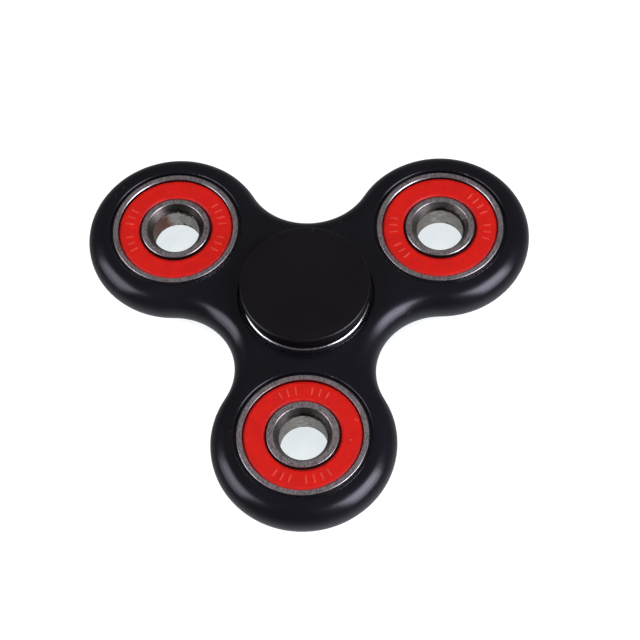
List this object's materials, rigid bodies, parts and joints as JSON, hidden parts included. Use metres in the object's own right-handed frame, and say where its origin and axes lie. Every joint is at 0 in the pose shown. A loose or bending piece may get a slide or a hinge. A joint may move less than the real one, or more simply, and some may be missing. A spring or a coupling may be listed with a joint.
{
  "type": "fidget spinner",
  "caption": "Three-arm fidget spinner: moulded frame with ball bearings in the hub and lobes, held between two round finger caps.",
  "frame": {"origin": "centre of mass: on the spin axis, half way up the thickness of the frame", "axes": "+Z is the spin axis, towards the upper cap; the front arm points along -Y and the other two point towards +X and -X on the +Y side"},
  "size_m": [0.0768, 0.0706, 0.0138],
  "materials": {
    "frame_plastic": "moulded black plastic with a soft gloss",
    "cap_plastic": "moulded black plastic with a soft gloss",
    "ring_steel": "ground bearing steel",
    "ball_steel": "polished bearing steel",
    "cage_nylon": "natural moulded nylon",
    "seal_rubber": "smooth red rubber"
  },
  "bodies": {
    "hub": {"upper_cap": "cap_plastic", "lower_cap": "cap_plastic", "centre_inner_ring": "ring_steel"},
    "spinner": {"body": "frame_plastic", "centre_outer_ring": "ring_steel", "centre_upper_seal": "seal_rubber", "centre_lower_seal": "seal_rubber", "front_outer_ring": "ring_steel", "front_upper_seal": "seal_rubber", "front_lower_seal": "seal_rubber", "left_outer_ring": "ring_steel", "left_upper_seal": "seal_rubber", "left_lower_seal": "seal_rubber", "right_outer_ring": "ring_steel", "right_upper_seal": "seal_rubber", "right_lower_seal": "seal_rubber"},
    "front_inner": {"front_inner_ring": "ring_steel"},
    "left_inner": {"left_inner_ring": "ring_steel"},
    "right_inner": {"right_inner_ring": "ring_steel"},
    "centre_ball_set": {"centre_balls": "ball_steel", "centre_cage": "cage_nylon"},
    "front_ball_set": {"front_balls": "ball_steel", "front_cage": "cage_nylon"},
    "left_ball_set": {"left_balls": "ball_steel", "left_cage": "cage_nylon"},
    "right_ball_set": {"right_balls": "ball_steel", "right_cage": "cage_nylon"}
  },
  "joints": [
    {"name": "spin", "type": "hinge", "parent": "hub", "child": "spinner", "pos_m": [0, 0, 0], "axis": [0, 0, 1], "continuous": true},
    {"name": "centre_ball_set_turn", "type": "hinge", "parent": "hub", "child": "centre_ball_set", "pos_m": [0, 0, 0], "axis": [0, 0, 1], "continuous": true},
    {"name": "front_inner_turn", "type": "hinge", "parent": "spinner", "child": "front_inner", "pos_m": [0, -0.02646, 0], "axis": [0, 0, 1], "continuous": true},
    {"name": "front_ball_set_turn", "type": "hinge", "parent": "spinner", "child": "front_ball_set", "pos_m": [0, -0.02646, 0], "axis": [0, 0, 1], "continuous": true},
    {"name": "left_inner_turn", "type": "hinge", "parent": "spinner", "child": "left_inner", "pos_m": [-0.02291, 0.01323, 0], "axis": [0, 0, 1], "continuous": true},
    {"name": "left_ball_set_turn", "type": "hinge", "parent": "spinner", "child": "left_ball_set", "pos_m": [-0.02291, 0.01323, 0], "axis": [0, 0, 1], "continuous": true},
    {"name": "right_inner_turn", "type": "hinge", "parent": "spinner", "child": "right_inner", "pos_m": [0.02291, 0.01323, 0], "axis": [0, 0, 1], "continuous": true},
    {"name": "right_ball_set_turn", "type": "hinge", "parent": "spinner", "child": "right_ball_set", "pos_m": [0.02291, 0.01323, 0], "axis": [0, 0, 1], "continuous": true}
  ],
  "couplings": [
    {"joint": "centre_ball_set_turn", "follows": "spin", "ratio": 0.6323},
    {"joint": "front_ball_set_turn", "follows": "front_inner_turn", "ratio": 0.3677},
    {"joint": "left_ball_set_turn", "follows": "left_inner_turn", "ratio": 0.3677},
    {"joint": "right_ball_set_turn", "follows": "right_inner_turn", "ratio": 0.3677}
  ]
}
